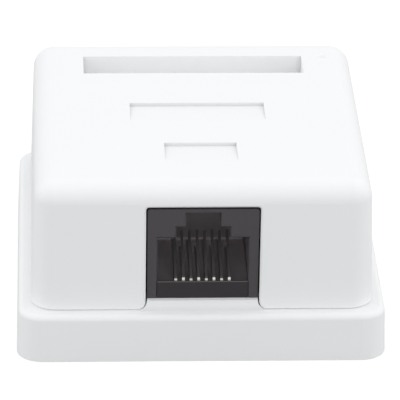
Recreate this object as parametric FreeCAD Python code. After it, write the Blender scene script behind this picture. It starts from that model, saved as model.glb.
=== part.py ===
import FreeCAD, Part

import math
import os

from FreeCAD import Vector

# A single-port surface mount jack box: a moulded base, a lift-off cover, an eight-contact
# modular jack on a small circuit board, two 110-type wire blocks and a foam mounting pad.
#
# Millimetres. X is to the right, the jack looks along -Y, Z is up. The origin is the centre
# of the underside, so everything sits at or above Z = 0.

# ---------------------------------------------------------------- base moulding
base_width = 49.4
base_depth = 51.7
base_height = 6.7
base_draft = 2.0            # degrees, on the skirt
base_corner_radius = 3.4
base_edge_fillet = 0.8
skirt_wall = 1.6
deck_thickness = 1.6        # the flat rim that the cover stands on
floor_lift = 1.0            # the floor is this far off the wall, for the pad
floor_thickness = 1.8
lip_wall = 1.5              # upstanding lip that centres the cover
lip_height = 2.5            # above the rim
lip_corner_radius = 1.6
tray_corner_radius = 0.4
gusset_thickness = 1.0
gusset_pitch = 12.0
gussets_per_side = 3

# ---------------------------------------------------------------- cover moulding
ledge = 1.85                # bare rim left outside the cover, all round
cover_height = 18.15        # above the rim
cover_wall = 1.8
cover_draft = 1.8           # degrees
cover_corner_radius = 3.3
cover_edge_fillet = 2.8
cover_lip_gap = 0.5         # between the cover's wall and the lip

slot_width = 30.75          # the long recess at the back of the cover's top
slot_length = 5.65
slot_depth = 3.2
slot_wall = 1.3
slot_back_inset = 6.15      # from the back of the cover's foot
grip_depth = 0.45           # the two stepped grips in front of the recess
grip_length = 5.6
grip_widths = (18.4, 9.7)
grip_back_insets = (21.65, 34.3)
dimple_radius = 0.75        # the moulding gate's mark, a shallow dish
dimple_floor_radius = 0.3
dimple_depth = 0.22
dimple_side_inset = 4.65    # from the cover's right-hand foot
dimple_back_inset = 6.05

rib_thickness = 1.0         # two ribs under the ceiling, over the jack
rib_inset = 1.5             # their middles, from the jack's sides
rib_front_inset = 4.0
rib_back_inset = 2.0
rib_gap = 0.3

snap_bead_length = 6.0
snap_bead_height = 0.2      # stands out of the lip and of the cover's wall
snap_bead_radius = 0.5
snap_bead_spacing = 20.0
snap_bead_drop = 0.75       # between the two beads' centres
base_bead_level = 2.0       # above the rim

# ---------------------------------------------------------------- modular jack
jack_width = 14.75
jack_height = 13.2
jack_depth = 15.5
jack_setback = 0.7          # face behind the cover's foot
jack_gap = 0.2              # between the jack and the cover's notch, each side
jack_top_gap = 0.28
jack_corner_radius = 0.35
port_width = 12.1
port_height = 9.0           # from the jack's underside to the port's ceiling
latch_step_width = 7.2
latch_step_height = 1.57
latch_width = 4.6
latch_height = 2.0
latch_depth = 9.5           # the two steps end here, short of the back wall
port_chamfer = 0.15
foot_length = 2.4           # two feet that drop through the board
foot_drop = 1.2
foot_thickness = 1.0
foot_gap = 0.15

contact_count = 8
contact_pitch = 1.016
contact_wire = 0.36
contact_bend_radius = 0.42
contact_front_inset = 0.1   # the even wires' bends behind the insert's front edge
contact_heel_radius = 0.5   # where the wire turns down into its tail
contact_slope = 22.0        # degrees, of the free end
contact_free_length = 8.0
contact_tail_inset = 2.0    # from the jack's back to the rear row of tails
contact_tail_pitch = 2.54   # between the two rows
contact_tail_drop = 0.9     # below the board
contact_stagger = 0.06      # even wires bend this much wider

insert_setback = 0.12       # the insert's front edge behind the jack's face
insert_floor = 2.5
insert_back_wall = 3.2
insert_clearance = 0.05
groove_gap = 0.05           # round each wire
wire_sink = 0.3             # the wires' upper sides lie this far below the insert's floor

# ---------------------------------------------------------------- tongue and notch
tongue_height = 1.46        # above the rim
tongue_length = 3.6
tongue_flare = 1.3          # radius at the tongue's foot
notch_corner_radius = 0.45
notch_edge_chamfer = 0.25   # runs on along the cover's foot
tongue_inset = 0.05         # behind the cover's face

# ---------------------------------------------------------------- circuit board
board_width = 23.0
board_length = 30.4
board_thickness = 1.6
board_front_gap = 0.4       # behind the lip
board_corner_radius = 0.8
tail_hole = 0.9             # square holes for the wires' and blades' tails
post_size = 2.4
post_inset = 1.9
pin_width = 1.6             # one front pin and one rear pin, both square, place the board
pin_gap = 0.1
pin_rise = 0.4              # above the board
hook_width = 4.0
hook_thickness = 1.2
hook_gap = 0.15
hook_reach = 0.7            # over the board's edge
hook_tip = 0.3              # height of the catch's blunt tip
hook_rise = 1.7             # from the catch to the top, along a lead-in slope
hook_setback = 7.5          # behind the board's front edge

# ---------------------------------------------------------------- wire blocks
block_offset = 8.2          # from the middle of the board
block_width = 5.2
block_length = 16.0
block_height = 10.0
block_setback = 2.0         # behind the jack
terminals_per_block = 4
terminal_pitch = 3.6
wire_slot_width = 1.2
wire_slot_depth = 6.0
mouth_depth = 2.0           # the pointed lead-in above each wire slot
mouth_width = 3.4
blade_thickness = 0.5
blade_width = 2.6
blade_height = 6.4
blade_lift = 1.2            # above the board
blade_slot_width = 0.35
blade_slot_depth = 4.2
blade_lead = 0.5            # sloping lead-in at the slot's mouth
blade_tail_width = 0.7
blade_gap = 0.05

cap_wall = 0.9
cap_gap = 0.15
cap_top = 1.3
cap_skirt = 4.0             # down from the block's crests
cap_notch_width = 1.5
cap_notch_height = 3.1
cap_edge_chamfer = 0.4
stuffer_thickness = 0.8
stuffer_drop = 2.9
stuffer_width = 1.4

# ---------------------------------------------------------------- fixing and cable
screw_spacing = 31.2
screw_offset = -3.0         # along Y from the middle
screw_hole_radius = 2.1
screw_head_radius = 3.2
screw_head_depth = 1.1
screw_boss_radius = 3.6
cable_width = 7.8
cable_height = 6.4          # above the rim
cable_gap = 0.3             # lip gap is wider than the cover's arch
tie_bridge_width = 8.0
tie_bridge_length = 5.0
tie_bridge_height = 3.8
tie_bridge_leg = 1.1
tie_bridge_top = 1.3
tie_bridge_inset = 1.6      # in front of the rear lip
pad_thickness = 1.0
pad_side_gap = 1.0          # between the pad and the screw bosses
pad_end_gap = 0.75
pad_corner_radius = 2.0

overlap = 0.2               # how far pieces of one moulding reach into each other
run_out = 1.0               # how far a cut starts and ends beyond the faces that it opens
slack = 0.01                # for picking edges

# ---------------------------------------------------------------- worked out from the above
cover_width = base_width - 2 * ledge
cover_depth = base_depth - 2 * ledge
cover_top = base_height + cover_height
cover_ceiling = cover_top - cover_wall
lip_width = cover_width - 2 * (cover_wall + cover_lip_gap)
lip_depth = cover_depth - 2 * (cover_wall + cover_lip_gap)
lip_top = base_height + lip_height
tray_width = lip_width - 2 * lip_wall
tray_depth = lip_depth - 2 * lip_wall
floor_top = floor_lift + floor_thickness

tongue_top = base_height + tongue_height
jack_bottom = tongue_top
jack_top = jack_bottom + jack_height
jack_front = -cover_depth / 2 + jack_setback
jack_back = jack_front + jack_depth
port_ceiling = jack_bottom + port_height
notch_width = jack_width + 2 * jack_gap
notch_top = jack_top + jack_top_gap

insert_front = jack_front + insert_setback
insert_top = jack_bottom + insert_floor
wire_level = insert_top - wire_sink - contact_wire / 2

board_top = jack_bottom
board_bottom = board_top - board_thickness
board_front = -tray_depth / 2 + board_front_gap
board_back = board_front + board_length

block_middle = jack_back + block_setback + block_length / 2
block_top = board_top + block_height
cable_arch_level = base_height + cable_height - cable_width / 2


# ---------------------------------------------------------------- helpers
def block(width, y_front, y_back, z_low, z_high, x_middle=0.0):
    """Plain box, centred on x_middle."""
    corner = Vector(x_middle - width / 2, y_front, z_low)
    return Part.makeBox(width, y_back - y_front, z_high - z_low, corner)


def upright_edges(shape):
    """Edges that climb, straight or with draft."""
    return [e for e in shape.Edges if e.BoundBox.ZLength > 0.5 * shape.BoundBox.ZLength]


def edges_at(shape, z):
    """Edges that lie flat at one level."""
    return [e for e in shape.Edges
            if abs(e.BoundBox.ZMin - z) < slack and abs(e.BoundBox.ZMax - z) < slack]


def edges_along_y(shape, z):
    """Edges that run back and forth at one level."""
    return [e for e in edges_at(shape, z) if e.BoundBox.YLength > slack]


def edges_within(shape, half_width, y_limit, z_low, z_high):
    """Edges in front of y_limit, within half_width of X = 0, between two heights."""
    return [e for e in shape.Edges
            if e.BoundBox.XMin > -half_width - slack and e.BoundBox.XMax < half_width + slack
            and e.BoundBox.ZMin > z_low - slack and e.BoundBox.ZMax < z_high + slack
            and e.BoundBox.YMax < y_limit + slack]


def rounded_block(width, length, z_low, z_high, radius, y_middle=0.0):
    """Box with rounded upright corners."""
    shape = block(width, y_middle - length / 2, y_middle + length / 2, z_low, z_high)
    return shape.makeFillet(radius, upright_edges(shape))


def arc(start, middle, end):
    return Part.Arc(start, middle, end).toShape()


def line(start, end):
    return Part.LineSegment(start, end).toShape()


def mirrored(shape):
    """The same shape on the other side of the YZ plane."""
    return shape.mirror(Vector(0, 0, 0), Vector(1, 0, 0))


def wall_profile(radius, z_low, z_high, draft, fillet):
    """Edges of one drafted wall in the XZ plane, from its foot to the top, and where the top starts.

    The foot is at X = radius, and the wall ends in an arc, tangent to the wall and the top.
    """
    lean = math.radians(draft)
    z_arc = z_high - fillet
    x_arc = radius - (z_arc - z_low) * math.tan(lean) - fillet / math.cos(lean)
    turn = (lean + math.pi / 2) / 2
    foot = Vector(radius, 0, z_low)
    wall_top = Vector(x_arc + fillet * math.cos(lean), 0, z_arc + fillet * math.sin(lean))
    if fillet == 0:
        return [line(foot, wall_top)], wall_top
    bend = Vector(x_arc + fillet * math.cos(turn), 0, z_arc + fillet * math.sin(turn))
    end = Vector(x_arc, 0, z_high)
    return [line(foot, wall_top), arc(wall_top, bend, end)], end


def profile_face(reach, z_low, z_high, draft, fillet, both_sides):
    """XZ face under one wall profile, or under a pair of them back to back."""
    edges, end = wall_profile(reach, z_low, z_high, draft, fillet)
    foot = Vector(reach, 0, z_low)
    if both_sides:
        other = [mirrored(e) for e in edges]
        joins = [line(end, Vector(-end.x, 0, z_high)), line(Vector(-reach, 0, z_low), foot)]
        return Part.Face(Part.Wire(Part.__sortEdges__(edges + other + joins)))
    axis_low, axis_high = Vector(0, 0, z_low), Vector(0, 0, z_high)
    joins = [line(axis_low, foot), line(axis_high, axis_low)]
    if end.x > slack:
        joins.append(line(end, axis_high))
    return Part.Face(Part.Wire(Part.__sortEdges__(edges + joins)))


def drafted_block(width, depth, z_low, z_high, draft, radius, fillet=0):
    """Box that narrows upward by the draft on all four sides, with round upright corners.

    Each corner is a turned quarter, and the walls between them are the same profile, extruded.
    """
    flat_x, flat_y = width - 2 * radius, depth - 2 * radius
    along_y = profile_face(width / 2, z_low, z_high, draft, fillet, True)
    along_y.translate(Vector(0, -flat_y / 2, 0))
    along_x = profile_face(depth / 2, z_low, z_high, draft, fillet, True)
    along_x.rotate(Vector(0, 0, 0), Vector(0, 0, 1), 90)
    along_x.translate(Vector(-flat_x / 2, 0, 0))
    pieces = [along_x.extrude(Vector(flat_x, 0, 0))]
    quarter = profile_face(radius, z_low, z_high, draft, fillet, False)
    quarter = quarter.revolve(Vector(0, 0, 0), Vector(0, 0, 1), 90)
    for i, (sx, sy) in enumerate(((1, 1), (-1, 1), (-1, -1), (1, -1))):
        corner = quarter.copy()
        corner.rotate(Vector(0, 0, 0), Vector(0, 0, 1), 90 * i)
        corner.translate(Vector(sx * flat_x / 2, sy * flat_y / 2, 0))
        pieces.append(corner)
    return along_y.extrude(Vector(0, flat_y, 0)).fuse(pieces).removeSplitter()


def cylinder(radius, x, y, z_low, z_high):
    """Upright cylinder."""
    return Part.makeCylinder(radius, z_high - z_low, Vector(x, y, z_low))


def prism_along_y(points, y_front, y_back):
    """Extrudes an XZ outline, given as (x, z) corners, from y_front to y_back."""
    corners = [Vector(x, y_front, z) for x, z in points]
    face = Part.Face(Part.makePolygon(corners + corners[:1]))
    return face.extrude(Vector(0, y_back - y_front, 0))


def prism_along_x(points, x_low, x_high):
    """Extrudes a YZ outline, given as (y, z) corners, from x_low to x_high."""
    corners = [Vector(x_low, y, z) for y, z in points]
    face = Part.Face(Part.makePolygon(corners + corners[:1]))
    return face.extrude(Vector(x_high - x_low, 0, 0))


def contact_places():
    """X of each jack contact, from left to right."""
    first = -(contact_count - 1) / 2 * contact_pitch
    return [first + i * contact_pitch for i in range(contact_count)]


def tail_place(i):
    """Y of one jack contact's tail: two staggered rows under the jack's back wall."""
    return jack_back - contact_tail_inset - (i % 2) * contact_tail_pitch


def terminal_places():
    """Y of each wire slot in a block, from the front."""
    first = block_middle - (terminals_per_block - 1) / 2 * terminal_pitch
    return [first + i * terminal_pitch for i in range(terminals_per_block)]


def post_places():
    """Where the board rests: two posts in its front corners, two between the wire blocks."""
    front_x = board_width / 2 - post_inset
    rear_x = block_offset - block_width / 2 - post_inset
    front_y, rear_y = board_front + post_inset, board_back - post_inset
    return [(-front_x, front_y), (front_x, front_y), (-rear_x, rear_y), (rear_x, rear_y)]


def pin_places():
    """Two opposite posts carry the pins that place the board."""
    posts = post_places()
    return [posts[0], posts[3]]


# ---------------------------------------------------------------- base
def flared_outline(half_width, low, high, radius, y):
    """XZ wire of a tongue or notch whose two sides run out sideways, in arcs, at its foot."""
    lean = radius * (1 - math.sqrt(0.5))
    foot_left = Vector(-half_width - radius, y, low)
    side_left = Vector(-half_width, y, low + radius)
    bend_left = Vector(-half_width - lean, y, low + lean)
    top_left = Vector(-half_width, y, high)
    top_right = Vector(half_width, y, high)
    side_right = Vector(half_width, y, low + radius)
    bend_right = Vector(half_width + lean, y, low + lean)
    foot_right = Vector(half_width + radius, y, low)
    return Part.Wire([
        arc(foot_left, bend_left, side_left), line(side_left, top_left), line(top_left, top_right),
        line(top_right, side_right), arc(side_right, bend_right, foot_right), line(foot_right, foot_left)])


def flared_prism(half_width, low, high, radius, y_front, y_back):
    wire = flared_outline(half_width, low, high, radius, y_front)
    return Part.Face(wire).extrude(Vector(0, y_back - y_front, 0))


def base_shell():
    """Skirt, rim deck, locating lip and floor, as one wall of even thickness."""
    shell = drafted_block(base_width, base_depth, 0, base_height, base_draft, base_corner_radius,
                          base_edge_fillet)
    shell = shell.fuse(rounded_block(lip_width, lip_depth, 0, lip_top, lip_corner_radius))

    channel = rounded_block(base_width - 2 * skirt_wall, base_depth - 2 * skirt_wall,
                            0, base_height - deck_thickness, base_corner_radius - skirt_wall)
    channel = channel.cut(rounded_block(lip_width, lip_depth, 0, base_height, lip_corner_radius))
    tray = rounded_block(tray_width, tray_depth, floor_top, lip_top, tray_corner_radius)
    pad_recess = rounded_block(tray_width, tray_depth, 0, floor_lift, tray_corner_radius)
    return shell.cut([channel, tray, pad_recess])


def gussets():
    """Small ribs across the channel, between the skirt and the lip's root."""
    ribs = []
    inner_x, outer_x = lip_width / 2 - overlap, base_width / 2 - skirt_wall / 2
    inner_y, outer_y = lip_depth / 2 - overlap, base_depth / 2 - skirt_wall / 2
    low, high = floor_lift, base_height - deck_thickness / 2
    for i in range(gussets_per_side):
        offset = (i - (gussets_per_side - 1) / 2) * gusset_pitch
        half = gusset_thickness / 2
        for sign in (-1, 1):
            x0, x1 = sorted((sign * inner_x, sign * outer_x))
            y0, y1 = sorted((sign * inner_y, sign * outer_y))
            ribs.append(Part.makeBox(x1 - x0, gusset_thickness, high - low, Vector(x0, offset - half, low)))
            ribs.append(Part.makeBox(gusset_thickness, y1 - y0, high - low, Vector(offset - half, y0, low)))
    return ribs


def board_supports():
    """Posts and pins under the board, and two hooks that hold its edges."""
    parts = []
    for x, y in post_places():
        parts.append(block(post_size, y - post_size / 2, y + post_size / 2, floor_top, board_bottom, x))
    half_pin = pin_width / 2
    for x, y in pin_places():
        parts.append(block(pin_width, y - half_pin, y + half_pin, board_bottom, board_top + pin_rise, x))
    inner = board_width / 2 + hook_gap
    outer = inner + hook_thickness
    catch_low = board_top + hook_gap
    catch_tip = board_width / 2 - hook_reach
    outline = [(outer, floor_top), (inner, floor_top), (inner, catch_low), (catch_tip, catch_low),
               (catch_tip, catch_low + hook_tip), (inner + hook_thickness / 3, catch_low + hook_rise),
               (outer, catch_low + hook_rise)]
    y_front = board_front + hook_setback
    hook = prism_along_y(outline, y_front, y_front + hook_width)
    return parts + [hook, mirrored(hook)]


def tie_bridge():
    """Low arch on the floor that a cable tie passes under."""
    y_back = tray_depth / 2 - tie_bridge_inset
    y_front = y_back - tie_bridge_length
    arch = block(tie_bridge_width, y_front, y_back, floor_top, floor_top + tie_bridge_height)
    tunnel = block(tie_bridge_width, y_front + tie_bridge_leg, y_back - tie_bridge_leg,
                   floor_top, floor_top + tie_bridge_height - tie_bridge_top)
    return arch.cut(tunnel)


def snap_bead(x_face, side, level, length):
    """Half-round bead on a wall face at x_face, standing out towards side (+1 or -1)."""
    x_axis = x_face + side * (snap_bead_height - snap_bead_radius)
    return Part.makeCylinder(snap_bead_radius, length, Vector(x_axis, -length / 2, level), Vector(0, 1, 0))


def snap_beads(x_face, side, level):
    """Two beads along one wall."""
    beads = []
    for sign in (-1, 1):
        bead = snap_bead(x_face, side, level, snap_bead_length)
        bead.translate(Vector(0, sign * snap_bead_spacing / 2, 0))
        beads.append(bead)
    return beads


def make_base():
    body = base_shell()
    bosses = [cylinder(screw_boss_radius, s * screw_spacing / 2, screw_offset, 0, floor_top) for s in (-1, 1)]
    lip_face = lip_width / 2
    bead_level = base_height + base_bead_level
    beads = snap_beads(lip_face, 1, bead_level) + snap_beads(-lip_face, -1, bead_level)
    body = body.fuse(bosses + gussets() + board_supports() + [tie_bridge()] + beads)

    # the lip is open in front for the jack and at the back for the cable
    jack_way = block(notch_width + 2 * tongue_flare, -lip_depth / 2 - overlap, -tray_depth / 2 + overlap,
                     base_height, lip_top)
    cable_way = block(cable_width + 2 * cable_gap, tray_depth / 2 - overlap, lip_depth / 2 + overlap,
                      base_height, lip_top)
    body = body.cut([jack_way, cable_way]).fuse(make_tongue())

    holes = []
    for sign in (-1, 1):
        x = sign * screw_spacing / 2
        holes.append(cylinder(screw_hole_radius, x, screw_offset, 0, floor_top))
        head_seat = floor_top - screw_head_depth
        holes.append(cylinder(screw_head_radius, x, screw_offset, head_seat, floor_top))
    return body.cut(holes).removeSplitter()


def make_tongue():
    """Pad that carries the jack's front edge and closes the notch's foot."""
    y_front = -cover_depth / 2 + tongue_inset
    y_back = y_front + tongue_length
    return flared_prism(jack_width / 2, base_height, tongue_top, tongue_flare, y_front, y_back)


# ---------------------------------------------------------------- cover
def cover_shell():
    outside = drafted_block(cover_width, cover_depth, base_height, cover_top, cover_draft,
                            cover_corner_radius, cover_edge_fillet)
    inside = drafted_block(
        cover_width - 2 * cover_wall, cover_depth - 2 * cover_wall, base_height, cover_ceiling,
        cover_draft, cover_corner_radius - cover_wall)
    return outside.cut(inside)


def grip_wedge(width, back_inset):
    """Shallow step that is deepest at its back and runs out towards the front."""
    y_back = cover_depth / 2 - back_inset
    outline = [(y_back, cover_top + run_out), (y_back, cover_top - grip_depth),
               (y_back - grip_length, cover_top), (y_back - grip_length, cover_top + run_out)]
    return prism_along_x(outline, -width / 2, width / 2)


def jack_notch():
    """Opening in the front wall, round the jack and its tongue."""
    y_front = -cover_depth / 2 - run_out
    y_back = -cover_depth / 2 + cover_wall + run_out
    half = notch_width / 2
    flare = tongue_flare - jack_gap
    notch = flared_prism(half, base_height, notch_top, flare, y_front, y_back)
    return notch.makeFillet(notch_corner_radius, edges_along_y(notch, notch_top))


def cable_arch():
    """Round-topped opening in the back wall."""
    y_front, y_back = cover_depth / 2 - cover_wall - run_out, cover_depth / 2 + run_out
    post = block(cable_width, y_front, y_back, base_height, cable_arch_level)
    crown = Part.makeCylinder(cable_width / 2, y_back - y_front,
                              Vector(0, y_front, cable_arch_level), Vector(0, 1, 0))
    return post.fuse(crown)


def hold_down_ribs():
    """Two ribs under the ceiling that stop the jack from lifting."""
    ribs = []
    for sign in (-1, 1):
        x = sign * (jack_width / 2 - rib_inset)
        ribs.append(block(rib_thickness, jack_front + rib_front_inset, jack_back - rib_back_inset,
                          jack_top + rib_gap, cover_ceiling + overlap, x))
    return ribs


def make_cover():
    body = cover_shell()
    y_back = cover_depth / 2 - slot_back_inset
    y_front = y_back - slot_length
    slot_floor = cover_top - slot_depth
    boss = block(slot_width + 2 * slot_wall, y_front - slot_wall, y_back + slot_wall,
                 slot_floor - slot_wall, cover_top - 0.5 * cover_wall)
    slot = block(slot_width, y_front, y_back, slot_floor, cover_top + run_out)
    dimple = Part.makeCone(dimple_floor_radius, dimple_radius, dimple_depth, Vector(
        cover_width / 2 - dimple_side_inset, cover_depth / 2 - dimple_back_inset, cover_top - dimple_depth))
    wall_face = cover_width / 2 - cover_wall
    bead_level = base_height + base_bead_level - snap_bead_drop
    inset = (bead_level - base_height) * math.tan(math.radians(cover_draft))
    beads = snap_beads(wall_face - inset, -1, bead_level) + snap_beads(-wall_face + inset, 1, bead_level)
    body = body.fuse([boss] + hold_down_ribs() + beads)

    grips = [grip_wedge(w, inset) for w, inset in zip(grip_widths, grip_back_insets)]
    body = body.cut([slot, dimple, cable_arch(), jack_notch()] + grips).removeSplitter()
    rim = edges_within(body, notch_width / 2 + tongue_flare, -cover_depth / 2 + cover_wall / 2,
                       base_height, notch_top)
    return body.makeChamfer(notch_edge_chamfer, rim)


# ---------------------------------------------------------------- jack
def port_space():
    """Room for the plug, open below for the insert, with the two steps for its latch."""
    half, step, slot = port_width / 2, latch_step_width / 2, latch_width / 2
    low = jack_bottom - run_out
    step_top = port_ceiling + latch_step_height
    slot_top = step_top + latch_height
    right = [(half, low), (half, port_ceiling), (step, port_ceiling), (step, step_top),
             (slot, step_top), (slot, slot_top)]
    left = [(-x, z) for x, z in reversed(right)]
    stepped = prism_along_y(right + left, jack_front - run_out, jack_front + latch_depth)
    plain = block(port_width, jack_front - run_out, jack_back + run_out, low, port_ceiling)
    return stepped.fuse(plain).removeSplitter()


def make_jack_housing():
    body = block(jack_width, jack_front, jack_back, jack_bottom, jack_top)
    body = body.makeFillet(jack_corner_radius, edges_along_y(body, jack_top))
    body = body.cut(port_space())
    mouth = edges_within(body, port_width / 2, jack_front, jack_bottom, jack_top)
    body = body.makeChamfer(port_chamfer, mouth)
    feet = []
    y = (jack_front + jack_back) / 2
    for sign in (-1, 1):
        x = sign * (jack_width / 2 - foot_thickness / 2)
        feet.append(block(foot_thickness, y - foot_length / 2, y + foot_length / 2,
                          board_bottom - foot_drop, jack_bottom + overlap, x))
    return body.fuse(feet).removeSplitter()


def make_contact_insert():
    """Floor and back wall of the port, grooved for the eight wires."""
    width = port_width - 2 * insert_clearance
    floor_plate = block(width, insert_front, jack_back, jack_bottom, insert_top)
    back_wall = block(width, jack_back - insert_back_wall, jack_back, jack_bottom,
                      port_ceiling - insert_clearance)
    body = floor_plate.fuse(back_wall)
    half_groove = contact_wire / 2 + groove_gap
    ways = []
    for i, x in enumerate(contact_places()):
        y_tail = tail_place(i)
        ways.append(block(2 * half_groove, insert_front, y_tail + half_groove,
                          wire_level - half_groove, insert_top, x))
        ways.append(block(2 * half_groove, y_tail - contact_heel_radius, y_tail + half_groove,
                          jack_bottom, wire_level, x))
    return body.cut(ways).removeSplitter()


def make_jack_contact(i, x):
    """Spring wire: tail, run under the port floor, front bend and free end."""
    y_tail = tail_place(i)
    bend = contact_bend_radius + (i % 2) * contact_stagger
    half = contact_wire / 2
    y_bend = insert_front + contact_front_inset + half + contact_bend_radius + contact_stagger
    slope = math.radians(contact_slope)
    heel = contact_heel_radius
    centre = Vector(x, y_bend, wire_level + bend)
    over = Vector(x, y_bend - bend * math.sin(slope), wire_level + bend + bend * math.cos(slope))
    front = Vector(x, y_bend - bend, wire_level + bend)
    tip = over + Vector(0, contact_free_length * math.cos(slope), contact_free_length * math.sin(slope))
    tail = Vector(x, y_tail, board_bottom - contact_tail_drop)
    heel_low = Vector(x, y_tail, wire_level - heel)
    heel_inset = heel * (1 - math.sqrt(0.5))
    heel_middle = Vector(x, y_tail - heel_inset, wire_level - heel_inset)
    heel_high = Vector(x, y_tail - heel, wire_level)
    under = Vector(x, y_bend, wire_level)
    path = Part.Wire([
        line(tail, heel_low), arc(heel_low, heel_middle, heel_high), line(heel_high, under),
        arc(under, front, over), line(over, tip)])
    section = Part.makePolygon([
        tail + Vector(-half, -half, 0), tail + Vector(half, -half, 0), tail + Vector(half, half, 0),
        tail + Vector(-half, half, 0), tail + Vector(-half, -half, 0)])
    return path.makePipeShell([section], True, True)


# ---------------------------------------------------------------- circuit board
def make_circuit_board():
    board = rounded_block(board_width, board_length, board_bottom, board_top, board_corner_radius,
                          (board_front + board_back) / 2)
    holes = []
    tails = [(x, tail_place(i)) for i, x in enumerate(contact_places())]
    tails += [(sign * block_offset, y) for sign in (-1, 1) for y in terminal_places()]
    for x, y in tails:
        holes.append(block(tail_hole, y - tail_hole / 2, y + tail_hole / 2, board_bottom, board_top, x))
    half = pin_width / 2 + pin_gap
    for x, y in pin_places():
        holes.append(block(2 * half, y - half, y + half, board_bottom, board_top, x))
    for sign in (-1, 1):
        x = sign * (jack_width / 2 - foot_thickness / 2)
        y = (jack_front + jack_back) / 2
        holes.append(block(foot_thickness + 2 * foot_gap, y - foot_length / 2 - foot_gap,
                           y + foot_length / 2 + foot_gap, board_bottom, board_top, x))
    return board.cut(holes)


# ---------------------------------------------------------------- wire blocks
def make_idc_block(x_middle):
    """Row of crests with a wire slot and a blade pocket between each two."""
    y_front, y_back = block_middle - block_length / 2, block_middle + block_length / 2
    body = block(block_width, y_front, y_back, board_top, block_top, x_middle)
    cuts = []
    for y in terminal_places():
        mouth = [(y - mouth_width / 2, block_top), (y - wire_slot_width / 2, block_top - mouth_depth),
                 (y - wire_slot_width / 2, block_top - wire_slot_depth),
                 (y + wire_slot_width / 2, block_top - wire_slot_depth),
                 (y + wire_slot_width / 2, block_top - mouth_depth), (y + mouth_width / 2, block_top)]
        cuts.append(prism_along_x(mouth, x_middle - block_width, x_middle + block_width))
        half = blade_width / 2 + blade_gap
        cuts.append(block(blade_thickness + 2 * blade_gap, y - half, y + half, board_top,
                          board_top + blade_lift + blade_height + blade_gap, x_middle))
    return body.cut(cuts).removeSplitter()


def make_idc_contact(x, y):
    """Flat blade with a slot that cuts into the wire, and a tail into the board."""
    low = board_top + blade_lift
    high = low + blade_height
    half, slot, tail = blade_width / 2, blade_slot_width / 2, blade_tail_width / 2
    slot_low = high - blade_slot_depth
    outline = [
        (y - tail, board_bottom - contact_tail_drop), (y - tail, low), (y - half, low), (y - half, high),
        (y - slot - blade_lead, high), (y - slot, high - blade_lead), (y - slot, slot_low),
        (y + slot, slot_low), (y + slot, high - blade_lead), (y + slot + blade_lead, high),
        (y + half, high), (y + half, low),
        (y + tail, low), (y + tail, board_bottom - contact_tail_drop)]
    return prism_along_x(outline, x - blade_thickness / 2, x + blade_thickness / 2)


def make_idc_cap(x_middle):
    """Cap that pushes the wires into the blades and covers the crests."""
    grow = cap_gap + cap_wall
    y_front, y_back = block_middle - block_length / 2, block_middle + block_length / 2
    low, ceiling = block_top - cap_skirt, block_top + cap_gap
    body = block(block_width + 2 * grow, y_front - grow, y_back + grow, low, ceiling + cap_top, x_middle)
    body = body.makeChamfer(cap_edge_chamfer, edges_at(body, ceiling + cap_top))
    hollow = block(block_width + 2 * cap_gap, y_front - cap_gap, y_back + cap_gap, low, ceiling, x_middle)
    notches = []
    stuffers = []
    for y in terminal_places():
        notches.append(block(block_width + 4 * grow, y - cap_notch_width / 2, y + cap_notch_width / 2,
                             low, low + cap_notch_height, x_middle))
        for sign in (-1, 1):
            x = x_middle + sign * (block_width / 2 - stuffer_width / 2)
            stuffers.append(block(stuffer_width, y - stuffer_thickness / 2, y + stuffer_thickness / 2,
                                  ceiling - stuffer_drop, ceiling + overlap, x))
    return body.cut([hollow] + notches).fuse(stuffers).removeSplitter()


# ---------------------------------------------------------------- pad
def make_adhesive_pad():
    width = screw_spacing - 2 * (screw_boss_radius + pad_side_gap)
    return rounded_block(width, tray_depth - 2 * pad_end_gap, 0, pad_thickness, pad_corner_radius)


# ---------------------------------------------------------------- write the pieces
def all_parts():
    parts = {
        "base": make_base(),
        "cover": make_cover(),
        "jack_housing": make_jack_housing(),
        "contact_insert": make_contact_insert(),
        "circuit_board": make_circuit_board(),
        "adhesive_pad": make_adhesive_pad(),
    }
    for i, x in enumerate(contact_places()):
        parts[f"jack_contact_{i + 1}"] = make_jack_contact(i, x)
    number = 0
    for name, x in (("left", -block_offset), ("right", block_offset)):
        parts[f"idc_block_{name}"] = make_idc_block(x)
        parts[f"idc_cap_{name}"] = make_idc_cap(x)
        for y in terminal_places():
            number += 1
            parts[f"idc_contact_{number}"] = make_idc_contact(x, y)
    return parts


os.makedirs("parts", exist_ok=True)
for node, shape in all_parts().items():
    shape.exportStep(f"parts/{node}.step")
    solids = len(shape.Solids)
    print(f"{node}: {solids} solid, {shape.Volume:.1f} mm3, valid {shape.isValid()}")
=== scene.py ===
"""Dresses the surface mount jack box: plastics, metals, board, foam pad, light and camera.

Lengths are in metres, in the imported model's frame.
"""

import math

import bmesh
import bpy
from mathutils import Matrix, Vector


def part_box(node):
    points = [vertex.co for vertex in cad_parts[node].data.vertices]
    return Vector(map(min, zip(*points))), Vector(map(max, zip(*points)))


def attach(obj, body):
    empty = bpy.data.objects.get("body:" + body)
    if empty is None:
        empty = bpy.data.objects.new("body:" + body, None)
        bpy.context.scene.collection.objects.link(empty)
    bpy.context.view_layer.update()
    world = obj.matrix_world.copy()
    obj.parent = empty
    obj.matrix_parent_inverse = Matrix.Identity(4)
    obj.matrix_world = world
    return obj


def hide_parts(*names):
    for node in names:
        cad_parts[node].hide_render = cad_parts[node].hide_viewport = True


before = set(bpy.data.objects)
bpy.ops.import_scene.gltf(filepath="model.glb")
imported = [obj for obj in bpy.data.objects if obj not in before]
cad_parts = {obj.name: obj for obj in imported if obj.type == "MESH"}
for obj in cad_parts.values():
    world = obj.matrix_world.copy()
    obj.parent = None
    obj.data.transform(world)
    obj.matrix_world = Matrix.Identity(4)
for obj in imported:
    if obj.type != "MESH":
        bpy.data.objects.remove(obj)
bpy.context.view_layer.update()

MM = 0.001
INSERT_FLOOR = 2.5 * MM     # the contact insert's floor above its underside
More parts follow.
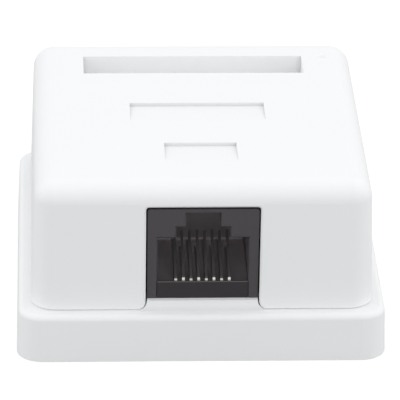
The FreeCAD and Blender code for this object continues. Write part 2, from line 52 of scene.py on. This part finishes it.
CONTACTS = 8                # wires in the jack, and blades in the two wire blocks together


def corners(node):
    """The lowest and highest corners of a CAD node's box at rest."""
    low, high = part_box(node)
    return Vector(low), Vector(high)


def centre(node):
    """The middle of a CAD node's box at rest."""
    low, high = corners(node)
    return (low + high) / 2


# ------------------------------------------------------------------ material nodes
def new_material(name):
    """A material with its nodes and links."""
    material = bpy.data.materials.new(name)
    material.use_nodes = True
    return material, material.node_tree.nodes, material.node_tree.links


def set_inputs(node, **values):
    """Sets a node's own inputs by name, with _ for each space."""
    for name, value in values.items():
        node.inputs[name.replace("_", " ")].default_value = value


def feed(links, source, target):
    """Gives an input its source: a socket, a colour or a number."""
    if isinstance(source, bpy.types.NodeSocket):
        links.new(source, target)
    elif isinstance(source, tuple):
        target.default_value = (*source, 1)
    else:
        target.default_value = source


def object_place(n):
    """Coordinates fixed to the object."""
    return n.new("ShaderNodeTexCoord").outputs["Object"]


def noise(n, links, scale, detail, distortion=0.0):
    """Noise in object space, with its scale in cycles per metre."""
    texture = n.new("ShaderNodeTexNoise")
    set_inputs(texture, Scale=scale, Detail=detail, Distortion=distortion)
    links.new(object_place(n), texture.inputs["Vector"])
    return texture.outputs["Fac"]


def remap(n, links, value, low, high, start=0.0, end=1.0):
    """The value, which runs from start to end, spread over low to high."""
    node = n.new("ShaderNodeMapRange")
    set_inputs(node, From_Min=start, From_Max=end, To_Min=low, To_Max=high)
    links.new(value, node.inputs["Value"])
    return node.outputs["Result"]


def calculate(n, links, operation, first, second):
    """Math node on two values, each a socket or a number."""
    node = n.new("ShaderNodeMath")
    node.operation = operation
    feed(links, first, node.inputs[0])
    feed(links, second, node.inputs[1])
    return node.outputs["Value"]


def mix_colours(n, links, factor, first, second):
    """Mix of two colours, each a socket or a colour, which is the second where the factor is 1."""
    node = n.new("ShaderNodeMix")
    node.data_type = "RGBA"
    links.new(factor, node.inputs["Factor"])
    feed(links, first, node.inputs["A"])
    feed(links, second, node.inputs["B"])
    return node.outputs["Result"]


def add_bump(n, links, shader, height, strength, distance, edge_radius=0.0):
    """Relief from a height, over edges that are rounded by a small radius."""
    bump = n.new("ShaderNodeBump")
    set_inputs(bump, Strength=strength, Distance=distance)
    links.new(height, bump.inputs["Height"])
    if edge_radius:
        edges = n.new("ShaderNodeBevel")
        edges.samples = 6
        set_inputs(edges, Radius=edge_radius)
        links.new(edges.outputs["Normal"], bump.inputs["Normal"])
    links.new(bump.outputs["Normal"], shader.inputs["Normal"])


# ------------------------------------------------------------------ finishes
def moulded_plastic(name, colour, tint, roughness, specular=0.5, grain=9000.0):
    """Injection-moulded plastic: faint flow marks in colour and gloss, and a fine eroded grain."""
    material, n, links = new_material(name)
    shader = n["Principled BSDF"]
    set_inputs(shader, IOR=1.52, Specular_IOR_Level=specular)
    flow = noise(n, links, scale=55.0, detail=3.0, distortion=0.6)
    gloss = remap(n, links, flow, roughness - 0.05, roughness + 0.05)
    links.new(mix_colours(n, links, flow, colour, tint), shader.inputs["Base Color"])
    links.new(gloss, shader.inputs["Roughness"])
    add_bump(n, links, shader, noise(n, links, scale=grain, detail=2.0),
             strength=0.35, distance=0.012 * MM, edge_radius=0.04 * MM)
    return material


def paint_crease_shade(material, crease_shade, reach):
    """Paints shade into a pale plastic: it darkens towards the crease shade colour in its own
    narrow corners, where shade falls.
    """
    n, links = material.node_tree.nodes, material.node_tree.links
    corner = n.new("ShaderNodeAmbientOcclusion")
    corner.only_local = True
    corner.samples = 8
    set_inputs(corner, Distance=reach)
    base_colour = n["Principled BSDF"].inputs["Base Color"]
    unshaded = base_colour.links[0].from_socket
    links.new(mix_colours(n, links, corner.outputs["AO"], crease_shade, unshaded), base_colour)


def paint_port_light_and_shade(material, near, deep, start, metallic=None):
    """Paints light and shade into a material inside the plug port, from the start depth behind the
    jack's face on.

    The colour goes from near to deep with depth and towards the port's floor, where less light
    reaches. A deep colour paler than the material's own is painted light, so that the port keeps an
    even tone, and a near colour darker than its own is painted shade. It depends only on the place
    on the object.
    """
    n, links = material.node_tree.nodes, material.node_tree.links
    jack_low, jack_high = corners("jack_housing")
    insert_low, insert_high = corners("contact_insert")
    side_margin, roof = 0.2 * MM, 0.3 * MM          # beside the insert, over the port
    pale_height, dim_height = 0.05 * MM, 0.4 * MM   # above the port's floor
    dim_share = 0.33                                # of the painted light, from dim_height up
    entry, floor = jack_low.y + start, insert_low.z + INSERT_FLOOR

    axes = n.new("ShaderNodeSeparateXYZ")
    links.new(object_place(n), axes.inputs["Vector"])
    across = calculate(n, links, "ABSOLUTE", axes.outputs["X"], 0)
    narrow = calculate(n, links, "LESS_THAN", across, insert_high.x + side_margin)
    under = calculate(n, links, "LESS_THAN", axes.outputs["Z"], jack_high.z - roof)
    behind = calculate(n, links, "GREATER_THAN", axes.outputs["Y"], entry)
    framed = calculate(n, links, "MULTIPLY", narrow, under)
    inside = calculate(n, links, "MULTIPLY", framed, behind)

    depth = remap(n, links, axes.outputs["Y"], 0, 1, entry, jack_high.y)
    lowness = remap(n, links, axes.outputs["Z"], 1, dim_share,
                    floor + pale_height, floor + dim_height)
    painted_light = calculate(n, links, "MULTIPLY", depth, lowness)
    painted_inner = mix_colours(n, links, painted_light, near, deep)
    shader = n["Principled BSDF"]
    outer = shader.inputs["Base Color"].links[0].from_socket
    links.new(mix_colours(n, links, inside, outer, painted_inner), shader.inputs["Base Color"])
    if metallic is not None:
        links.new(remap(n, links, inside, 1, metallic), shader.inputs["Metallic"])


def drawn_metal(name, colour, tint, roughness, streak=2500.0):
    """Plated spring wire or stamped strip, with fine streaks from drawing and rolling."""
    material, n, links = new_material(name)
    shader = n["Principled BSDF"]
    set_inputs(shader, Metallic=1.0)
    patches = noise(n, links, scale=streak, detail=3.0)
    gloss = remap(n, links, patches, roughness - 0.04, roughness + 0.08)
    links.new(mix_colours(n, links, patches, colour, tint), shader.inputs["Base Color"])
    links.new(gloss, shader.inputs["Roughness"])
    add_bump(n, links, shader, noise(n, links, scale=4 * streak, detail=2.0),
             strength=0.25, distance=0.004 * MM)
    return material


def solder_mask(name, dark, light, coat):
    """Green lacquer over glass cloth, whose weave just shows."""
    material, n, links = new_material(name)
    shader = n["Principled BSDF"]
    set_inputs(shader, IOR=1.5, Coat_Weight=coat, Coat_Roughness=0.12)
    place = object_place(n)
    threads = []
    for direction in ("X", "Y"):
        wave = n.new("ShaderNodeTexWave")
        wave.bands_direction = direction
        set_inputs(wave, Scale=420.0, Distortion=1.5, Detail=1.0)
        links.new(place, wave.inputs["Vector"])
        threads.append(wave.outputs["Fac"])
    cloth = calculate(n, links, "MULTIPLY", *threads)
    gloss = remap(n, links, noise(n, links, scale=300.0, detail=3.0), 0.24, 0.4)
    links.new(mix_colours(n, links, cloth, dark, light), shader.inputs["Base Color"])
    links.new(gloss, shader.inputs["Roughness"])
    add_bump(n, links, shader, cloth, strength=0.3, distance=0.02 * MM)
    return material


def closed_cell_foam(name, colour, tint):
    """White foam tape: small closed cells and a soft, dry surface."""
    material, n, links = new_material(name)
    shader = n["Principled BSDF"]
    set_inputs(shader, Sheen_Weight=0.2, Sheen_Roughness=0.5)
    cells = n.new("ShaderNodeTexVoronoi")
    set_inputs(cells, Scale=2600.0)
    links.new(object_place(n), cells.inputs["Vector"])
    from_middle = cells.outputs["Distance"]
    gloss = remap(n, links, noise(n, links, scale=900.0, detail=2.0), 0.75, 0.95)
    links.new(mix_colours(n, links, from_middle, tint, colour), shader.inputs["Base Color"])
    links.new(gloss, shader.inputs["Roughness"])
    add_bump(n, links, shader, from_middle, strength=0.5, distance=0.08 * MM)
    return material


def waxed_paper(name, colour, tint):
    """Release paper or printed ink: long fibres under a waxy gloss."""
    material, n, links = new_material(name)
    shader = n["Principled BSDF"]
    fibres = noise(n, links, scale=1800.0, detail=5.0, distortion=1.5)
    links.new(mix_colours(n, links, fibres, tint, colour), shader.inputs["Base Color"])
    links.new(remap(n, links, fibres, 0.32, 0.5), shader.inputs["Roughness"])
    add_bump(n, links, shader, fibres, strength=0.3, distance=0.02 * MM)
    return material


WHITE = moulded_plastic("white_abs", (0.88, 0.884, 0.885), (0.865, 0.869, 0.872),
                        roughness=0.55, specular=0.2)
JACK = moulded_plastic("jack_black", (0.061, 0.0555, 0.0615), (0.055, 0.05, 0.0555),
                       roughness=0.45, grain=12000.0)
CARRIER = moulded_plastic("carrier_black", (0.022, 0.017, 0.0205), (0.019, 0.0145, 0.018),
                          roughness=0.5, grain=12000.0)
# Painted highlight: a paler grey for the insert lip's sloped top edge, which lies in shade under
# the port.
EDGE_HIGHLIGHT = moulded_plastic("painted_edge_highlight", (0.082, 0.076, 0.08), (0.072, 0.067, 0.07), roughness=0.4)
BLOCK = moulded_plastic("block_nylon", (0.74, 0.73, 0.68), (0.69, 0.68, 0.63), roughness=0.4)
CAP = moulded_plastic("cap_nylon", (0.8, 0.79, 0.75), (0.76, 0.75, 0.7), roughness=0.36)
GOLD = drawn_metal("gold_plate", (0.82, 0.77, 0.7), (0.74, 0.69, 0.62), roughness=0.5)
TINNED = drawn_metal("tinned_bronze", (0.72, 0.69, 0.64), (0.62, 0.58, 0.52), roughness=0.28)
SOLDER = drawn_metal("solder", (0.74, 0.74, 0.73), (0.6, 0.6, 0.6), roughness=0.22, streak=900.0)
LAMINATE = solder_mask("green_laminate", (0.016, 0.11, 0.045), (0.03, 0.17, 0.075), coat=0.35)
TRACK = solder_mask("masked_copper", (0.05, 0.23, 0.06), (0.08, 0.30, 0.09), coat=0.5)
INK = waxed_paper("legend_ink", (0.8, 0.8, 0.78), (0.7, 0.7, 0.68))
FOAM = closed_cell_foam("white_foam", (0.8, 0.8, 0.78), (0.62, 0.62, 0.6))
LINER = waxed_paper("release_paper", (0.82, 0.77, 0.62), (0.72, 0.66, 0.5))

# Painted shade: the white plastic darkens in its narrow corners and creases.
paint_crease_shade(WHITE, crease_shade=(0.64, 0.645, 0.65), reach=0.85 * MM)
# Painted light: the port's black plastics turn paler with depth and towards its floor, where less
# light reaches.
for moulding in (JACK, CARRIER):
    paint_port_light_and_shade(moulding, near=(0.07, 0.064, 0.068), deep=(0.84, 0.765, 0.81), start=0.25 * MM)
# Painted shade and light: the wires turn dark just behind their bends, then paler and less metallic
# deeper in the port.
paint_port_light_and_shade(GOLD, near=(0.065, 0.06, 0.064), deep=(0.62, 0.565, 0.6), start=0.36 * MM,
            metallic=0.3)

FINISHES = {
    "base": WHITE,
    "cover": WHITE,
    "jack_housing": JACK,
    "contact_insert": CARRIER,
    "circuit_board": LAMINATE,
    "jack_contact": GOLD,
    "idc_block": BLOCK,
    "idc_contact": TINNED,
    "idc_cap": CAP,
}


def dress_nodes():
    """Gives each CAD node the finish that its name starts with."""
    for name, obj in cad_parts.items():
        for start, material in FINISHES.items():
            if name.startswith(start):
                obj.data.materials.clear()
                obj.data.materials.append(material)


# ------------------------------------------------------------------ pieces made here
def new_piece(name, build, materials, smooth=False):
    """Turns a bmesh into an object that moves with the base."""
    bmesh.ops.recalc_face_normals(build, faces=build.faces)
    for face in build.faces:
        face.smooth = smooth
    mesh = bpy.data.meshes.new(name)
    build.to_mesh(mesh)
    build.free()
    for material in materials:
        mesh.materials.append(material)
    piece = bpy.data.objects.new(name, mesh)
    bpy.context.scene.collection.objects.link(piece)
    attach(piece, "base_body")
    return piece


def round_ring(build, x, y, radius, z, steps=16):
    """Circle as a loop of vertices at height z."""
    turns = [2 * math.pi * step / steps for step in range(steps)]
    return [build.verts.new((x + radius * math.cos(a), y + radius * math.sin(a), z))
            for a in turns]


def rounded_ring(build, low, high, radius, inset, z, steps=8):
    """Rounded rectangle between two corners, shrunk by the inset, as a loop of vertices at z."""
    ring = []
    reach = radius - inset
    middles = ((high.x - radius, high.y - radius), (low.x + radius, high.y - radius),
               (low.x + radius, low.y + radius), (high.x - radius, low.y + radius))
    for quarter, (x, y) in enumerate(middles):
        for step in range(steps + 1):
            angle = math.pi / 2 * (quarter + step / steps)
            ring.append(build.verts.new((x + reach * math.cos(angle),
                                         y + reach * math.sin(angle), z)))
    return ring


def skin(build, rings, slots):
    """Closed skin over equal rings, with the material slot of each band between two rings."""
    build.faces.new(rings[0]).material_index = slots[0]
    for lower, upper, slot in zip(rings, rings[1:], slots):
        for i in range(len(lower)):
            band_face = build.faces.new((lower[i - 1], lower[i], upper[i], upper[i - 1]))
            band_face.material_index = slot
    build.faces.new(rings[-1]).material_index = slots[-1]


def make_pad():
    """Foam tape with its release paper still on, in the recess under the base."""
    low, high = corners("adhesive_pad")
    corner_radius = 2.0 * MM
    paper, paper_inset, paper_bevel = 0.1 * MM, 0.03 * MM, 0.02 * MM
    foam, foam_inset, foam_bulge = high.z - low.z - paper, 0.5 * MM, 0.22 * MM
    foam_slot, paper_slot = 0, 1
    foam_bands = 8
    profile = [(paper_inset, 0), (0, paper_bevel), (0, paper - paper_bevel), (paper_inset, paper)]
    slots = [paper_slot] * (len(profile) - 1) + [foam_slot] * (foam_bands + 1)
    for band in range(foam_bands + 1):
        share = band / foam_bands
        bulge = foam_bulge * math.sin(math.pi * share)
        profile.append((foam_inset - bulge, paper + foam * share))

    build = bmesh.new()
    rings = [rounded_ring(build, low, high, corner_radius, inset, low.z + z)
             for inset, z in profile]
    skin(build, rings, slots)
    pad = new_piece("foam_tape", build, (FOAM, LINER))
    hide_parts("adhesive_pad")


def make_lip():
    """Front lip of the contact insert, which hides the wires' bends up to the insert's floor."""
    low, high = corners("contact_insert")
    jack_face = corners("jack_housing")[0].y
    setback = 0.02 * MM         # of its face behind the jack's
    clearance = 0.002 * MM      # between it and the insert
    lift = 0.02 * MM            # of its foot above the insert's underside
    drop = 0.12 * MM            # of its sloped top, from back to front
    reach = 0.04 * MM           # past the insert at each side
    face, back = jack_face + setback, low.y - clearance
    foot, top = low.z + lift, low.z + INSERT_FLOOR
    profile = ((face, foot), (face, top - drop), (back, top), (back, foot))
    slope = 2                   # the profile's edge that ends at its point 2
    # The sloped top takes the painted highlight.
    plain_slot, highlight_slot = 0, 1

    build = bmesh.new()
    ends = [[build.verts.new((x, y, z)) for y, z in profile]
            for x in (low.x - reach, high.x + reach)]
    for i in range(len(profile)):
        side = build.faces.new((ends[0][i - 1], ends[0][i], ends[1][i], ends[1][i - 1]))
        side.material_index = highlight_slot if i == slope else plain_slot
    for end in ends:
        build.faces.new(end)
    new_piece("insert_lip", build, (CARRIER, EDGE_HIGHLIGHT))


def add_strip(build, points, width, z_low, z_high):
    """Flat strip of even width along a run of XY points, with mitred bends and square ends."""
    sections = []
    for i, point in enumerate(points):
        before = (point - points[i - 1]).normalized() if i else None
        after = (points[i + 1] - point).normalized() if i + 1 < len(points) else None
        before, after = before or after, after or before
        middle = (before + after).normalized()
        across = Vector((-middle.y, middle.x)) * (width / 2 / middle.dot(after))
        sections.append([build.verts.new((*(point + sign * across), z))
                         for z in (z_low, z_high) for sign in (1, -1)])
    for (a, b, c, d), (e, f, g, h) in zip(sections, sections[1:]):
        for side in ((a, b, f, e), (c, d, h, g), (a, c, g, e), (b, d, h, f)):
            build.faces.new(side)
    for a, b, c, d in (sections[0], sections[-1]):
        build.faces.new((a, b, d, c))


def make_tracks():
    """Lacquered copper tracks from behind the jack to the terminals of the two wire blocks."""
    top = corners("circuit_board")[1].z
    width, height, turn = 0.32 * MM, 0.035 * MM, 0.8 * MM
    jack_gap, block_gap = 0.05 * MM, 0.02 * MM
    y_start = corners("jack_housing")[1].y + jack_gap
    per_block = CONTACTS // 2
    build = bmesh.new()
    for wire in range(1, CONTACTS + 1):
        if wire <= per_block:
            terminal, side = wire, -1
            x_end = corners("idc_block_left")[1].x + block_gap
        else:
            terminal, side = CONTACTS + per_block + 1 - wire, 1
            x_end = corners("idc_block_right")[0].x - block_gap
        x, y = centre(f"jack_contact_{wire}").x, centre(f"idc_contact_{terminal}").y
        route = [Vector((x, y_start)), Vector((x, y - turn)), Vector((x + side * turn, y)),
                 Vector((x_end, y))]
        add_strip(build, route, width, top, top + height)
    new_piece("copper_tracks", build, (TRACK,))


def make_legend():
    """Printed outlines round the two wire blocks."""
    top = corners("circuit_board")[1].z
    gap, width, height = 0.3 * MM, 0.16 * MM, 0.045 * MM
    build = bmesh.new()
    for name in ("idc_block_left", "idc_block_right"):
        low, high = corners(name)
        x0, x1, y0, y1 = low.x - gap, high.x + gap, low.y - gap, high.y + gap
        route = [Vector(p) for p in ((x0, y0), (x1, y0), (x1, y1), (x0, y1))]
        for a, b in zip(route, route[1:] + route[:1]):
            reach = (b - a).normalized() * width / 2
            add_strip(build, [a - reach, b + reach], width, top, top + height)
    new_piece("block_outlines", build, (INK,))


def make_solder():
    """Solder fillets round the tails of the jack's wires and of the blades, under the board."""
    under = corners("circuit_board")[0].z
    pad, fillet, bands = 0.03 * MM, 0.62 * MM, 7
    hollow = 2.4                # the power of the fillet's curve
    tail_half = 0.18 * MM       # half of a wire's tail, which is at the back of its box
    joints = (("jack_contact", 0.66 * MM, 0.27 * MM), ("idc_contact", 0.95 * MM, 0.46 * MM))
    build = bmesh.new()
    for kind, pad_radius, tip_radius in joints:
        for number in range(1, CONTACTS + 1):
            node = f"{kind}_{number}"
            x, y, _ = centre(node)
            if kind == "jack_contact":
                y = corners(node)[1].y - tail_half
            rings = [round_ring(build, x, y, pad_radius, under)]
            for band in range(bands + 1):
                share = band / bands
                radius = tip_radius + (pad_radius - tip_radius) * (1 - share) ** hollow
                rings.append(round_ring(build, x, y, radius, under - pad - fillet * share))
            skin(build, rings, [0] * (len(rings) - 1))
    new_piece("solder_joints", build, (SOLDER,), smooth=True)


# ------------------------------------------------------------------ floor, light and camera
def add_floor():
    """Grey floor that keeps the object's shadow, and glows to the camera so that it looks white."""
    half_side, drop = 1.5, 0.02 * MM
    grey, glow_strength = 0.45, 0.6
    mesh = bpy.data.meshes.new("floor")
    build = bmesh.new()
    bmesh.ops.create_grid(build, x_segments=1, y_segments=1, size=half_side)
    build.to_mesh(mesh)
    build.free()
    floor = bpy.data.objects.new("floor", mesh)
    bpy.context.scene.collection.objects.link(floor)
    floor.location.z = -drop

    material, n, links = new_material("floor_white")
    diffuse = n.new("ShaderNodeBsdfDiffuse")
    set_inputs(diffuse, Color=(grey, grey, grey, 1))
    glow = n.new("ShaderNodeEmission")
    camera_ray = n.new("ShaderNodeLightPath").outputs["Is Camera Ray"]
    shown = calculate(n, links, "MULTIPLY", camera_ray, glow_strength)
    links.new(shown, glow.inputs["Strength"])
    both = n.new("ShaderNodeAddShader")
    links.new(diffuse.outputs["BSDF"], both.inputs[0])
    links.new(glow.outputs["Emission"], both.inputs[1])
    links.new(both.outputs["Shader"], n["Material Output"].inputs["Surface"])
    mesh.materials.append(material)


def light_world():
    """Even pale surroundings, seen as white by the camera."""
    world = bpy.data.worlds.new("studio")
    bpy.context.scene.world = world
    world.use_nodes = True
    n, links = world.node_tree.nodes, world.node_tree.links
    light = n["Background"]
    set_inputs(light, Color=(0.985, 0.99, 1.0, 1), Strength=0.9)
    seen = n.new("ShaderNodeBackground")
    set_inputs(seen, Color=(1, 1, 1, 1), Strength=1.0)
    camera_ray = n.new("ShaderNodeLightPath").outputs["Is Camera Ray"]
    choose = n.new("ShaderNodeMixShader")
    links.new(camera_ray, choose.inputs["Fac"])
    links.new(light.outputs["Background"], choose.inputs[1])
    links.new(seen.outputs["Background"], choose.inputs[2])
    links.new(choose.outputs["Shader"], n["World Output"].inputs["Surface"])


def softbox(name, place, size, watts):
    """Square area lamp at place, turned to the object."""
    target = Vector((0, 0, 0.01))
    lamp = bpy.data.lights.new(name, "AREA")
    lamp.shape = "SQUARE"
    lamp.size = size
    lamp.energy = watts
    obj = bpy.data.objects.new(name, lamp)
    bpy.context.scene.collection.objects.link(obj)
    obj.location = place
    obj.rotation_euler = (target - Vector(place)).to_track_quat("-Z", "Y").to_euler()


def add_camera():
    """Long lens from the front, a little to the left and well above."""
    azimuth, elevation, roll = math.radians(-2.71), math.radians(26.5), math.radians(0.94)
    aim = Vector((0.56, -0.45, 11.33)) * MM
    distance = 504.9 * MM
    back = Vector((math.sin(azimuth) * math.cos(elevation),
                   -math.cos(azimuth) * math.cos(elevation), math.sin(elevation)))
    right = Vector((math.cos(azimuth), math.sin(azimuth), 0))
    up = back.cross(right)
    camera_x = math.cos(roll) * right + math.sin(roll) * up
    camera_y = math.cos(roll) * up - math.sin(roll) * right
    camera = bpy.data.cameras.new("camera")
    camera.sensor_width = 36        # this and the lens are in millimetres
    camera.lens = 328.6
    camera.clip_start = 0.01
    obj = bpy.data.objects.new("camera", camera)
    bpy.context.scene.collection.objects.link(obj)
    turn = Matrix((camera_x, camera_y, back)).transposed().to_4x4()
    obj.matrix_world = Matrix.Translation(aim + back * distance) @ turn
    bpy.context.scene.camera = obj


dress_nodes()
make_pad()
make_lip()
make_tracks()
make_legend()
make_solder()
add_floor()
light_world()
softbox("front_box", place=(0.1, -1.0, 0.35), size=0.5, watts=0.41)
softbox("left_box", place=(-0.8, -0.1, 0.35), size=1.2, watts=2.7)
softbox("right_box", place=(0.8, -0.1, 0.35), size=1.2, watts=3.1)
add_camera()
bpy.context.scene.view_settings.view_transform = "Standard"
